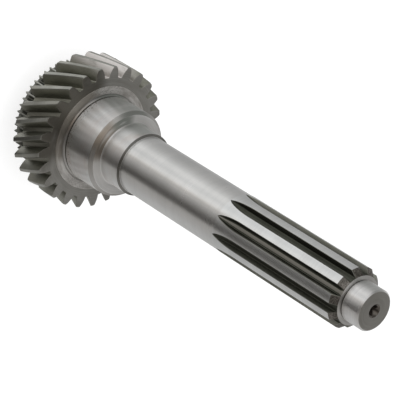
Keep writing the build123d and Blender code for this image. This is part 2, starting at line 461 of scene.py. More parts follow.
@dataclass
class Pinion:
    """Left-hand helical pinion with involute flanks, rounded roots and chamfered tips."""

    bottom: float = 22.5
    width: float = 32.0
    teeth: int = 25
    normal_module: float = 3.8
    helix_angle: float = 23.5
    pressure_angle: float = 20.0
    addendum_factor: float = 1.05
    dedendum_factor: float = 1.25
    root_fillet: float = 1.0
    end_chamfer: float = 0.8
    phase: float = -124.1
    tip_edge: float = 0.3
    end_edge: float = 0.22
    rim: float = 1.2
    rows: int = 22
    land_points: int = 3
    flank_points: int = 8
    fillet_points: int = 6
    root_points: int = 3

    def __post_init__(self) -> None:
        """Work out the transverse sizes of the teeth."""
        helix = radians(self.helix_angle)
        self.pitch_radius = self.teeth * self.normal_module / cos(helix) / 2
        self.tip_radius = self.pitch_radius + self.addendum_factor * self.normal_module
        self.root_radius = self.pitch_radius - self.dedendum_factor * self.normal_module
        self.transverse = atan(tan(radians(self.pressure_angle)) / cos(helix))
        self.base_radius = self.pitch_radius * cos(self.transverse)
        self.tooth_angle = 2 * pi / self.teeth
        self.twist = self.width * tan(helix) / self.pitch_radius

    def _half_angle(self, radius: Array) -> Array:
        """Half of a tooth's angle at a radius: a quarter pitch plus the difference of two involutes.

        Args:
            radius: distances from the axis, from the base circle outwards.

        Returns:
            The angles in radians.
        """
        roll = np.arccos(np.minimum(1.0, self.base_radius / radius))
        involute = np.tan(roll) - roll
        return self.tooth_angle / 4 + tan(self.transverse) - self.transverse - involute

    def _outline(self, tip: Array) -> tuple[Array, Array]:
        """Outline of the teeth in one turn, in radius and angle.

        Args:
            tip: tip radius of each row, shaped (rows, 1).

        Returns:
            Radii and angles, shaped (rows, columns), going round anticlockwise.
        """
        fillet = self.root_fillet
        fillet_end = sqrt((self.root_radius + fillet) ** 2 - fillet**2)
        reach = asin(fillet / (self.root_radius + fillet))
        flank_start = max(self.base_radius, fillet_end)
        flank_top = tip - self.tip_edge
        flank = flank_top + (flank_start - flank_top) * shares(self.flank_points)
        flank_angle = self._half_angle(flank)
        land_half = self._half_angle(flank_top) - self.tip_edge / tip
        land = np.repeat(tip, self.land_points, axis=1)
        land_angle = land_half * shares(self.land_points)
        centre_angle = self._half_angle(np.array([[flank_start]])) + reach
        start = pi / 2 + reach
        swing = -start + shares(self.fillet_points, 1) * (start - pi)
        fillet_x = self.root_radius + fillet + fillet * np.cos(swing)
        fillet_y = fillet * np.sin(swing)
        fillet_r = np.hypot(fillet_x, fillet_y) * np.ones_like(tip)
        fillet_angle = (centre_angle + np.arctan2(fillet_y, fillet_x)) * np.ones_like(tip)
        root_angle = centre_angle + (self.tooth_angle / 2 - centre_angle) * shares(self.root_points, 1)
        root_angle = root_angle * np.ones_like(tip)
        root = np.full_like(root_angle, self.root_radius)
        radius = np.concatenate([land, flank, fillet_r, root], axis=1)
        angle = np.concatenate([land_angle, flank_angle, fillet_angle, root_angle], axis=1)
        return np.tile(mirrored(radius), (1, self.teeth)), spread(mirrored(angle, -1), self.teeth, 0)

    def _finishes(self, strips: int) -> Array:
        """Slot numbers of the toothed band: tips, flanks with their roots, and the face on the end edges.

        Args:
            strips: number of strips along the width.

        Returns:
            The slot numbers, shaped (strips, columns).
        """
        below_land = self.flank_points + (self.fillet_points - 1) + (self.root_points - 1)
        half = [Finish.TIP] * self.land_points + [Finish.FLANK] * (below_land - 1)
        numbers = mirrored_slots(half, strips, self.teeth)
        numbers[[0, -1]] = Finish.PINION_FACE.value
        return numbers

    def add_to(self, skin: Skin) -> None:
        """Add the toothed band with its two faces.

        Args:
            skin: the skin so far, which grows by this part.
        """
        top = self.bottom + self.width
        inner = np.linspace(self.end_chamfer, self.width - self.end_chamfer, self.rows)
        edge = self.end_edge
        ends = np.array([0.0, edge, self.end_chamfer / 2])
        offset = np.concatenate([ends, inner, self.width - ends[::-1]])[:, None]
        from_end = np.minimum(offset, self.width - offset)
        tip = np.minimum(self.tip_radius, self.tip_radius - self.end_chamfer + from_end)
        inset = np.clip(edge - from_end, 0, None)
        radius, angle = self._outline(tip)
        angle = angle + radians(self.phase) + self.twist - self.twist * offset / self.width
        grid = ring(radius, angle, self.bottom + offset)
        along = np.roll(grid, -1, axis=1) - np.roll(grid, 1, axis=1)
        inward = np.stack([-along[..., 1], along[..., 0], np.zeros(along.shape[:2])], axis=-1)
        inward /= np.linalg.norm(inward, axis=-1, keepdims=True)
        grid = grid + inward * inset[..., None]
        rim = self.root_radius - self.rim
        rear = ring(rim, angle[0], self.bottom)[None]
        front = ring(rim, angle[-1], top)[None]
        face = Finish.PINION_FACE
        nothing = slots([])
        skin.add(rear, nothing, face)
        skin.add(grid, self._finishes(len(grid) - 1), face)
        skin.add(front, nothing, face)


@dataclass
class BearingSeats:
    """Worn collar, main bearing seat with its undercut, and the stepped seat up to the plain bar."""

    bottom: float = 54.5
    collar_radius: float = 40.7
    collar_height: float = 0.5
    hub_radius: float = 33.35
    hub_length: float = 31.6
    hub_chamfer: float = 2.5
    undercut_radius: float = 1.5
    undercut_seat_depth: float = 0.5
    undercut_face_depth: float = 0.15
    seat_radius: float = 24.0
    seat_length: float = 19.6
    seat_fillet: float = 1.0
    step_rise: float = 0.8
    bar_radius: float = 22.0
    undercut_steps: int = 14
    undercut_floor_steps: int = 7
    face_reach: float = 2.0
    collar_foot_edge: float = 0.1
    edge: float = 0.2
    chamfer_edge: float = 0.25
    bar_reach: float = 4.0

    def _undercut(self, foot: float) -> list[Corner]:
        """Round relief from the collar's face to the seat, along two thirds of a circle.

        Args:
            foot: height of the collar's face.

        Returns:
            The corners, from the face to the seat.
        """
        centre_r = self.hub_radius + self.undercut_radius - self.undercut_seat_depth
        centre_z = foot + self.undercut_radius - self.undercut_face_depth
        first = -asin(1 - self.undercut_face_depth / self.undercut_radius)
        last = -pi - acos(1 - self.undercut_seat_depth / self.undercut_radius)
        swing = np.linspace(first, last, self.undercut_steps)
        radii = centre_r + self.undercut_radius * np.cos(swing)
        heights = centre_z + self.undercut_radius * np.sin(swing)
        wall_steps = self.undercut_steps - self.undercut_floor_steps - 1
        finishes = [Finish.EDGE] * self.undercut_floor_steps + [Finish.RELIEF] * wall_steps + [Finish.SEAT]
        return [Corner(r, z, 0, finish) for r, z, finish in zip(radii, heights, finishes)]

    def add_to(self, skin: Skin) -> None:
        """Add the collar, the seats and the foot of the plain bar.

        Args:
            skin: the skin so far, which grows by this part.
        """
        foot = self.bottom + self.collar_height
        hub_top = foot + self.hub_length
        seat_top = hub_top + self.seat_length
        corners = [
            Corner(self.collar_radius + self.face_reach, self.bottom, 0, Finish.PINION_FACE),
            Corner(self.collar_radius, self.bottom, self.collar_foot_edge, Finish.COLLAR),
            Corner(self.collar_radius, foot, self.edge, Finish.COLLAR),
            *self._undercut(foot),
            Corner(self.hub_radius, hub_top - self.hub_chamfer, self.chamfer_edge, Finish.EDGE),
            Corner(self.hub_radius - self.hub_chamfer, hub_top, self.chamfer_edge, Finish.SHOULDER),
            Corner(self.seat_radius, hub_top, self.seat_fillet, Finish.SEAT),
            Corner(self.seat_radius, seat_top - self.step_rise, self.edge, Finish.STEP),
            Corner(self.bar_radius, seat_top, self.edge, Finish.BAR),
            Corner(self.bar_radius, seat_top + self.bar_reach, 0, Finish.BAR),
        ]
        grid, numbers = turned(corners)
        skin.add(grid, numbers, Finish.PINION_FACE)


@dataclass
class SplinedBar:
    """Plain bar and the ten-key clutch spline, with the run-out that the cutter left at each groove."""

    bottom: float = 208.5
    length: float = 122.6
    keys: int = 10
    bar_radius: float = 22.0
    key_radius: float = 22.225
    key_width: float = 6.6
    root_radius: float = 18.1
    shoulder_radius: float = 18.0
    key_chamfer_length: float = 4.4
    fillet: float = 1.2
    edge: float = 0.22
    run_out_length: float = 22.0
    run_out_margin: float = 1.1
    run_out_tip: float = 0.02
    run_out_power: float = 0.75
    phase: float = -13.3
    run_out_spacing: float = 0.8
    run_out_rows: int = 30
    straight_rows: int = 6
    chamfer_shares: tuple[float, ...] = (0.25, 0.5, 0.75, 0.93, 1.0)
    foot_length: float = 2.0
    least_depth: float = 0.004
    key_limit: float = 0.998
    fillet_limit: float = 0.6
    edge_limit: float = 0.25
    land_points: int = 7
    wall_points: int = 5
    fillet_points: int = 6
    floor_points: int = 5

    def _profile(self, outer: Array, half_key: Array, floor: Array) -> tuple[Array, Array]:
        """Outline of the splined bar in one turn, in radius and angle.

        In the frame of a key, the wall is a line at half the key's width from its middle plane. The fillet is
        an arc that touches the wall and the floor circle, so its centre lies one fillet radius from both.

        Args:
            outer: outer radius of each row, shaped (rows, 1).
            half_key: half width of the keys in each row.
            floor: radius of the groove's floor in each row.

        Returns:
            Radii and angles, shaped (rows, columns), going round anticlockwise.
        """
        half_pitch = pi / self.keys
        floor = np.minimum(floor, outer - self.least_depth)
        half_key = np.minimum(half_key, floor * sin(half_pitch) * self.key_limit)
        depth = outer - floor
        room = (floor * sin(half_pitch) - half_key) / (1 - sin(half_pitch))
        fillet = np.minimum(np.minimum(self.fillet, self.fillet_limit * room), self.fillet_limit * depth)
        edge = np.minimum(self.edge, self.edge_limit * depth)
        top_angle = np.arcsin(half_key / outer) - edge / outer
        land_angle = top_angle * shares(self.land_points)
        land = outer * np.ones_like(land_angle)
        centre_y = half_key + fillet
        centre_x = np.sqrt((floor + fillet) ** 2 - centre_y**2)
        wall_top = np.sqrt(outer**2 - half_key**2) - edge
        wall_x = wall_top + (centre_x - wall_top) * shares(self.wall_points)
        wall_y = half_key * np.ones_like(wall_x)
        centre_angle = np.arctan2(centre_y, centre_x)
        swing = -pi / 2 - (pi / 2 - centre_angle) * shares(self.fillet_points, 1)
        fillet_x = centre_x + fillet * np.cos(swing)
        fillet_y = centre_y + fillet * np.sin(swing)
        floor_angle = centre_angle + (half_pitch - centre_angle) * shares(self.floor_points, 1)
        floor_r = floor * np.ones_like(floor_angle)
        wall_r, wall_angle = np.hypot(wall_x, wall_y), np.arctan2(wall_y, wall_x)
        fillet_r, fillet_angle = np.hypot(fillet_x, fillet_y), np.arctan2(fillet_y, fillet_x)
        radius = np.concatenate([land, wall_r, fillet_r, floor_r], axis=1)
        angle = np.concatenate([land_angle, wall_angle, fillet_angle, floor_angle], axis=1)
        first = radians(self.phase) + half_pitch
        return np.tile(mirrored(radius), (1, self.keys)), spread(mirrored(angle, -1), self.keys, first)

    def add_to(self, skin: Skin) -> None:
        """Add the plain bar's end, the run-outs, the keys and their chamfered ends.

        Args:
            skin: the skin so far, which grows by this part.
        """
        end = self.bottom + self.run_out_margin
        full = end + self.run_out_length
        top = self.bottom + self.length
        share = np.linspace(1, 0, self.run_out_rows)[:, None] ** self.run_out_spacing
        straight = np.linspace(0, 1, self.straight_rows)[1:, None]
        key_top = top - self.key_chamfer_length
        chamfer = np.array(self.chamfer_shares)[:, None]
        height = np.concatenate([full - share * self.run_out_length, full + straight * (key_top - full),
                                 key_top + chamfer * self.key_chamfer_length])
        share = np.concatenate([share, np.zeros((len(height) - len(share), 1))])
        open_share = 1 - share**2
        floor = self.key_radius - (self.key_radius - self.root_radius) * open_share
        half_top = tan(pi / self.keys) * self.key_radius - self.key_width / 2 / cos(pi / self.keys)
        inset = half_top * (1 - np.maximum(open_share, self.run_out_tip) ** self.run_out_power)
        half_key = self.key_width / 2 + inset * cos(pi / self.keys)
        fall = (height - key_top) / self.key_chamfer_length
        outer = self.key_radius - np.clip(fall, 0, None) * (self.key_radius - self.shoulder_radius)
        radius, angle = self._profile(outer, half_key, floor)
        grid = ring(radius, angle, height)
        foot_heights = np.array([[self.bottom - self.foot_length], [self.bottom]])
        foot_rows = ring(self.bar_radius, angle[:1], foot_heights)
        skin.add(foot_rows, slots([Finish.BAR])[:, None], Finish.BAR)
        # Groove corners and floors get painted shade, and the floors a paler strip of painted light in one
        # sector.
        walls = [Finish.GROOVE] * self.wall_points + [Finish.GROOVE_CORNER] * self.fillet_points
        floors = [Finish.GROOVE_FLOOR] * (self.floor_points - 2)
        half = [Finish.LAND] * (self.land_points - 1) + walls + floors
        numbers = mirrored_slots(half, len(grid) - 1, self.keys)
        ends = numbers[-len(chamfer):]
        ends[ends == Finish.LAND.value] = Finish.KEY_END.value
        skin.add(grid, numbers, Finish.BAR)


@dataclass
class Nose:
    """Pilot journal with its relief and the centre hole in its face."""

    bottom: float = 331.1
    shoulder_radius: float = 18.0
    journal_radius: float = 15.0
    journal_length: float = 15.9
    relief_width: float = 0.9
    relief_depth: float = 0.4
    chamfer: float = 1.2
    guard_radius: float = 4.8
    guard_depth: float = 0.7
    centre_radius: float = 3.8
    drill_radius: float = 1.8
    drill_depth: float = 9.0
    centre_angle: float = 60.0
    point_angle: float = 118.0
    shoulder_reach: float = 0.4
    edge: float = 0.2
    guard_edge: float = 0.15
    fine_edge: float = 0.12
    drill_edge: float = 0.1

    def add_to(self, skin: Skin) -> None:
        """Add the journal and close the skin in the centre hole.

        Args:
            skin: the skin so far, which grows by this part.
        """
        top = self.bottom + self.journal_length
        relief = self.journal_radius - self.relief_depth
        cone_length = (self.centre_radius - self.drill_radius) / tan(radians(self.centre_angle / 2))
        cone_depth = self.guard_depth + cone_length
        point = self.drill_radius / tan(radians(self.point_angle / 2))
        corners = [
            Corner(self.shoulder_radius - self.shoulder_reach, self.bottom, 0, Finish.JOURNAL_FOOT),
            Corner(relief, self.bottom, self.edge, Finish.RELIEF),
            Corner(relief, self.bottom + self.relief_width - self.relief_depth, self.edge, Finish.RELIEF),
            Corner(self.journal_radius, self.bottom + self.relief_width, self.fine_edge, Finish.JOURNAL),
            Corner(self.journal_radius, top - self.chamfer, self.edge, Finish.JOURNAL),
            Corner(self.journal_radius - self.chamfer, top, self.edge, Finish.NOSE),
            Corner(self.guard_radius, top, self.guard_edge, Finish.CENTRE),
            Corner(self.centre_radius, top - self.guard_depth, self.fine_edge, Finish.CENTRE),
            Corner(self.drill_radius, top - cone_depth, self.fine_edge, Finish.CENTRE),
            Corner(self.drill_radius, top - self.drill_depth, self.drill_edge, Finish.CENTRE),
            Corner(self.drill_radius / 2, top - self.drill_depth - point / 2, 0, Finish.CENTRE),
        ]
        grid, numbers = turned(corners)
        skin.add(grid, numbers, Finish.JOURNAL_FOOT)
        skin.pole(top - self.drill_depth - point, Finish.CENTRE, False)


class Lay(Enum):
    """Ways that tool marks run over a surface."""

    AROUND = "round the axis on a turned or ground length"
    RINGS = "in rings on a faced end"
    ALONG = "along the axis on a milled or hobbed length"
    EVEN = "no way in particular"


class Nodes:
    """Shader nodes of one tree, and the ways to join them."""

    def __init__(self, tree: bpy.types.NodeTree) -> None:
        """Take the tree to work in."""
        self.tree = tree

    def node(self, kind: str) -> bpy.types.Node:
        """New node of a kind."""
        return self.tree.nodes.new(kind)

    def feed(self, target: Socket, value: Value) -> None:
        """Link a socket to the one that feeds it, or give it a value of its own.

        Args:
            target: the socket that takes the value.
            value: the socket or the value.
        """
        if isinstance(value, Socket):
            self.tree.links.new(value, target)
        else:
            target.default_value = value

    def scaled(self, vector: Socket, scale: Triple) -> Socket:
        """Vector times a scale for each axis.

        Args:
            vector: the vector.
            scale: the scale of x, y and z.

        Returns:
            The socket with the result.
        """
        mapping = self.node("ShaderNodeMapping")
        self.feed(mapping.inputs["Scale"], scale)
        self.feed(mapping.inputs["Vector"], vector)
        return mapping.outputs["Vector"]

    def split(self, vector: Socket) -> list[Socket]:
        """The x, the y and the z of a vector.

        Args:
            vector: the vector.

        Returns:
            The three sockets.
        """
        node = self.node("ShaderNodeSeparateXYZ")
        self.feed(node.inputs[0], vector)
        return list(node.outputs)

    def joined(self, *parts: Value) -> Socket:
        """Vector of an x, a y and a z.

        Args:
            parts: the x, the y and the z, as sockets or numbers.

        Returns:
            The socket with the result.
        """
        node = self.node("ShaderNodeCombineXYZ")
        for target, part in zip(node.inputs, parts):
            self.feed(target, part)
        return node.outputs[0]

    def math(self, operation: str, first: Value, second: Value) -> Socket:
        """Result of a sum on two sockets or numbers.

        Args:
            operation: name of the sum.
            first: its first value.
            second: its second value.

        Returns:
            The socket with the result.
        """
        node = self.node("ShaderNodeMath")
        node.operation = operation
        self.feed(node.inputs[0], first)
        self.feed(node.inputs[1], second)
        return node.outputs[0]

    def total(self, first: Socket, first_share: float, second: Socket, second_share: float) -> Socket:
        """Sum of two sockets, each times its share."""
        parts = self.math("MULTIPLY", first, first_share), self.math("MULTIPLY", second, second_share)
        return self.math("ADD", *parts)

    def vector(self, operation: str, first: Socket, second: Triple = (0, 0, 0)) -> bpy.types.Node:
        """Node with the result of a sum on vectors.

        Args:
            operation: name of the sum.
            first: its first vector.
            second: its second vector, where it takes two.

        Returns:
            The node, with the result as its Vector or its Value.
        """
        node = self.node("ShaderNodeVectorMath")
        node.operation = operation
        self.feed(node.inputs[0], first)
        self.feed(node.inputs[1], second)
        return node

    def noise(self, vector: Socket, detail: float, seed: float) -> Socket:
        """Noise about 0.5 with features as large as one unit of the vector.

        Args:
            vector: coordinates of the pattern.
            detail: number of finer layers.
            seed: place of the pattern.

        Returns:
            The socket with the result.
        """
        noise = self.node("ShaderNodeTexNoise")
        noise.noise_dimensions = "4D"
        for name, value in (("W", seed), ("Scale", 1.0), ("Detail", detail), ("Vector", vector)):
            self.feed(noise.inputs[name], value)
        return noise.outputs["Fac"]

    def span(self, value: Socket, low: float, high: float, start: float, end: float) -> Socket:
        """Value that goes smoothly from one number to another while the socket goes from low to high.

        Args:
            value: the socket.
            low: where the change begins.
            high: where it ends.
            start: the number up to there.
            end: the number from there on.

        Returns:
            The socket with the result.
        """
        node = self.node("ShaderNodeMapRange")
        node.interpolation_type = "SMOOTHSTEP"
        for name, number in (("From Min", low), ("From Max", high), ("To Min", start), ("To Max", end)):
            self.feed(node.inputs[name], number)
        self.feed(node.inputs["Value"], value)
        return node.outputs["Result"]

    def blend(self, share: Socket, first: Socket | Colour, second: Socket | Colour) -> Socket:
        """Colour that goes from the first to the second as the share goes from 0 to 1.

        Args:
            share: share of the second colour.
            first: the first colour, or its socket.
            second: the second colour, or its socket.

        Returns:
            The socket with the result.
        """
        mix = self.node("ShaderNodeMix")
        mix.data_type = "RGBA"
        self.feed(mix.inputs["Factor"], share)
        for name, colour in (("A", first), ("B", second)):
            self.feed(mix.inputs[name], (*colour, 1) if isinstance(colour, tuple) else colour)
        return mix.outputs["Result"]


LEVEL = (1, 1, 0)


class Graph(Nodes):
    """Nodes of one steel, with the places on the piece in millimetres."""

    def __init__(self, name: str) -> None:
        """Start the material and its coordinates.

        Args:
            name: name of the material.
        """
        self.material = bpy.data.materials.new(name)
        self.material.use_nodes = True
        super().__init__(self.material.node_tree)
        self.shader = self.tree.nodes["Principled BSDF"]
        place = self.node("ShaderNodeTexCoord").outputs["Object"]
        self.place = self.scaled(place, (1 / MM, 1 / MM, 1 / MM))

    def along_lay(self, lay: Lay, across: float, along: float) -> Socket:
        """Coordinates that stretch a pattern along the tool marks.

        Args:
            lay: the way that the marks run.
            across: width of one feature across the marks.
            along: length of one feature along the marks.

        Returns:
            The vector: x and y over the length and z over the width where marks run round the axis, the same
            with the distance from the axis for z where they are rings, x and y over the width and z over the
            length where they run along it, and all three over the width where they run no way.
        """
        place = self.place
        if lay is Lay.RINGS:
            x, y, _ = self.split(place)
            place = self.joined(x, y, self.vector("LENGTH", self.scaled(place, LEVEL)).outputs["Value"])
        wide, far = 1 / across, 1 / along
        scales = {Lay.ALONG: (wide, wide, far), Lay.EVEN: (wide, wide, wide)}
        return self.scaled(place, scales.get(lay, (far, far, wide)))


MARK_STRETCH = 40
PATCH_STRETCH = 2
GRAIN_SIZE = 0.5
GRAIN_HEIGHT = 0.25
TONE_RANGE = (0.35, 0.65)
ROUGH_RANGE = (0.3, 0.7)
PATCH_ROUGH = 0.6
MARK_ROUGH = 0.4
BARE_LEVEL = 0.68
LEVEL_FALL = 0.36
FIRST_SPOT_SEED = 10
BAND_FADE = 0.25
SECTOR_FADE = 9.0
TURNED_BRUSH = 0.9


@dataclass(frozen=True)
class ScuffAndPaintedLight:
    """Stains, worn spots, painted light and painted shade on a finish, as one layer.

    Args:
        colour: colour at full strength.
        across: width of a spot across the tool marks, in millimetres.
        along: length of a spot along them.
        share: how much of the surface is covered, from 0 to 1.
        softness: how gradually a spot starts.
        strength: how much of the colour shows at the most.
        seed: place of the pattern.
        band: lowest and highest place along the axis, in millimetres, or None for the whole finish.
        sector: middle and half width of the part of a turn that it keeps to, in degrees, or None for all.
    """

    colour: Colour
    across: float
    along: float
    share: float
    softness: float = 0.05
    strength: float = 1.0
    seed: float = 0.0
    band: Pair | None = None
    sector: Pair | None = None


@dataclass(frozen=True)
class Steel:
    """Bare steel with tool marks, patches of another tone, and stains, worn spots, painted light and shade.

    Args:
        name: name of the material.
        light: colour of the clean metal.
        dark: colour of the duller patches and of the marks' bottoms.
        roughness: mean roughness.
        lay: the way that the tool marks run.
        mark_pitch: width of the tool marks in millimetres.
        mark_depth: depth of the tool marks in millimetres.
        mark_tone: how far the marks shift the colour, from 0 to 1.
        patch_size: size of the patches in millimetres.
        rough_spread: how far the roughness wanders about its mean.
        brushed: how far the marks draw out reflections across their lay, from 0 to 1.
        scuffs_and_painted_light: stains, worn spots and painted light and shade, the lowest layer first.
    """

    name: str
    light: Colour
    dark: Colour
    roughness: float
    lay: Lay = Lay.AROUND
    mark_pitch: float = 0.9
    mark_depth: float = 0.006
    mark_tone: float = 0.35
    patch_size: float = 14.0
    rough_spread: float = 0.03
    brushed: float = 0.0
    scuffs_and_painted_light: tuple[ScuffAndPaintedLight, ...] = ()

    def material(self) -> bpy.types.Material:
        """The finish as a material.

        Returns:
            The new material.
        """
        graph = Graph(self.name)
        shader = graph.shader.inputs
        mark, patch = self.mark_pitch, self.patch_size
        marks = graph.noise(graph.along_lay(self.lay, mark, MARK_STRETCH * mark), detail=3, seed=1)
        patches = graph.noise(graph.along_lay(self.lay, patch, PATCH_STRETCH * patch), detail=4, seed=2)
        grain = graph.noise(graph.along_lay(Lay.EVEN, GRAIN_SIZE, GRAIN_SIZE), detail=2, seed=3)
        tone = graph.total(marks, self.mark_tone, patches, 1 - self.mark_tone)
        colour = graph.blend(graph.span(tone, *TONE_RANGE, 0, 1), self.dark, self.light)
        for scuff_and_light in self.scuffs_and_painted_light:
            colour = graph.blend(self._spots(graph, scuff_and_light), colour, scuff_and_light.colour)
        graph.feed(shader["Base Color"], colour)
        uneven = graph.total(patches, PATCH_ROUGH, marks, MARK_ROUGH)
        ends = self.roughness + self.rough_spread, self.roughness - self.rough_spread
        graph.feed(shader["Roughness"], graph.span(uneven, *ROUGH_RANGE, *ends))
        bump = graph.node("ShaderNodeBump")
        graph.feed(bump.inputs["Distance"], self.mark_depth * MM)
        graph.feed(bump.inputs["Height"], graph.total(marks, 1, grain, GRAIN_HEIGHT))
        graph.feed(shader["Normal"], bump.outputs["Normal"])
        graph.feed(shader["Metallic"], 1.0)
        if self.brushed:
            graph.feed(shader["Anisotropic"], self.brushed)
            graph.feed(shader["Tangent"], self._across(graph))
        return graph.material

    def _across(self, graph: Graph) -> Socket:
        """Direction across the tool marks: up the axis, away from the axis, or round it.

        Args:
            graph: nodes of the material.

        Returns:
            The socket with the direction.
        """
        if self.lay is Lay.AROUND:
            return graph.joined(0, 0, 1)
        x, y, _ = graph.split(graph.place)
        if self.lay is Lay.RINGS:
            return graph.joined(x, y, 0)
        return graph.joined(graph.math("MULTIPLY", y, -1), x, 0)

    def _spots(self, graph: Graph, scuff_and_light: ScuffAndPaintedLight) -> Socket:
        """Share of a layer's colour: noise above a level that its share sets, kept to its band and sector.

        Args:
            graph: nodes of the material.
            scuff_and_light: the stains, worn spots or painted light and shade of this layer.

        Returns:
            The socket with the share.
        """
        vector = graph.along_lay(self.lay, scuff_and_light.across, scuff_and_light.along)
        noise = graph.noise(vector, detail=4, seed=FIRST_SPOT_SEED + scuff_and_light.seed)
        level = BARE_LEVEL - LEVEL_FALL * scuff_and_light.share
        spots = graph.span(noise, level - scuff_and_light.softness, level + scuff_and_light.softness, 0, scuff_and_light.strength)
        if scuff_and_light.band:
            spots = graph.math("MULTIPLY", spots, self._in_band(graph, *scuff_and_light.band))
        if scuff_and_light.sector:
            spots = graph.math("MULTIPLY", spots, self._in_sector(graph, *scuff_and_light.sector))
        return spots

    def _in_band(self, graph: Graph, low: float, high: float) -> Socket:
        """Share that is 1 between two places along the axis and fades out beyond them.

        Args:
            graph: nodes of the material.
            low: the lower place, in millimetres.
            high: the higher place.

        Returns:
            The socket with the share.
        """
        height = graph.split(graph.place)[2]
        fade = (high - low) * BAND_FADE
        above = graph.span(height, low - fade, low + fade, 0, 1)
        below = graph.span(height, high - fade, high + fade, 1, 0)
        return graph.math("MULTIPLY", above, below)

    def _in_sector(self, graph: Graph, middle: float, half: float) -> Socket:
        """Share that is 1 about one direction from the axis, by the cosine of the angle from it.

        Args:
            graph: nodes of the material.
            middle: the direction, in degrees.
            half: angle from it at which the share is about a half.

        Returns:
            The socket with the share.
        """
        outward = graph.vector("NORMALIZE", graph.scaled(graph.place, LEVEL)).outputs["Vector"]
        direction = (cos(radians(middle)), sin(radians(middle)), 0)
        towards = graph.vector("DOT_PRODUCT", outward, direction).outputs["Value"]
        edges = [cos(radians(half + SECTOR_FADE)), cos(radians(half - SECTOR_FADE))]
        return graph.span(towards, *edges, 0, 1)


def stain_and_painted_light(colour: Colour, size: Pair, strength: float, seed: float, sector: Pair) -> ScuffAndPaintedLight:
    """Tint over one sector of a finish, sized across and along the marks; stains and painted light and shade
    alike.
    """
    return ScuffAndPaintedLight(colour, *size, share=0.95, softness=0.15, strength=strength, seed=seed, sector=sector)


def ground(name: str, light: Colour, dark: Colour, roughness: float, *scuffs_and_painted_light: ScuffAndPaintedLight) -> Steel:
    """Steel of a ground length, with fine marks round the axis."""
    return Steel(name, light, dark, roughness, brushed=TURNED_BRUSH, scuffs_and_painted_light=scuffs_and_painted_light)


def faced(name: str, light: Colour, dark: Colour, roughness: float, *scuffs_and_painted_light: ScuffAndPaintedLight) -> Steel:
    """Steel of a turned end, with the rings that a facing cut leaves."""
    return Steel(name, light, dark, roughness, Lay.RINGS, mark_pitch=0.5, mark_depth=0.01,
                 brushed=TURNED_BRUSH, scuffs_and_painted_light=scuffs_and_painted_light)


def cut(name: str, light: Colour, dark: Colour, roughness: float, pitch: float, *scuffs_and_painted_light: ScuffAndPaintedLight) -> Steel:
    """Steel of a milled or hobbed length, with marks of a pitch along the axis."""
    return Steel(name, light, dark, roughness, Lay.ALONG, pitch, scuffs_and_painted_light=scuffs_and_painted_light)


BROWN: Colour = (0.2, 0.165, 0.13)
# Near black: soot and pits on the collar and key ends, and painted shade on the groove walls.
SOOT_AND_SHADE: Colour = (0.05, 0.045, 0.04)

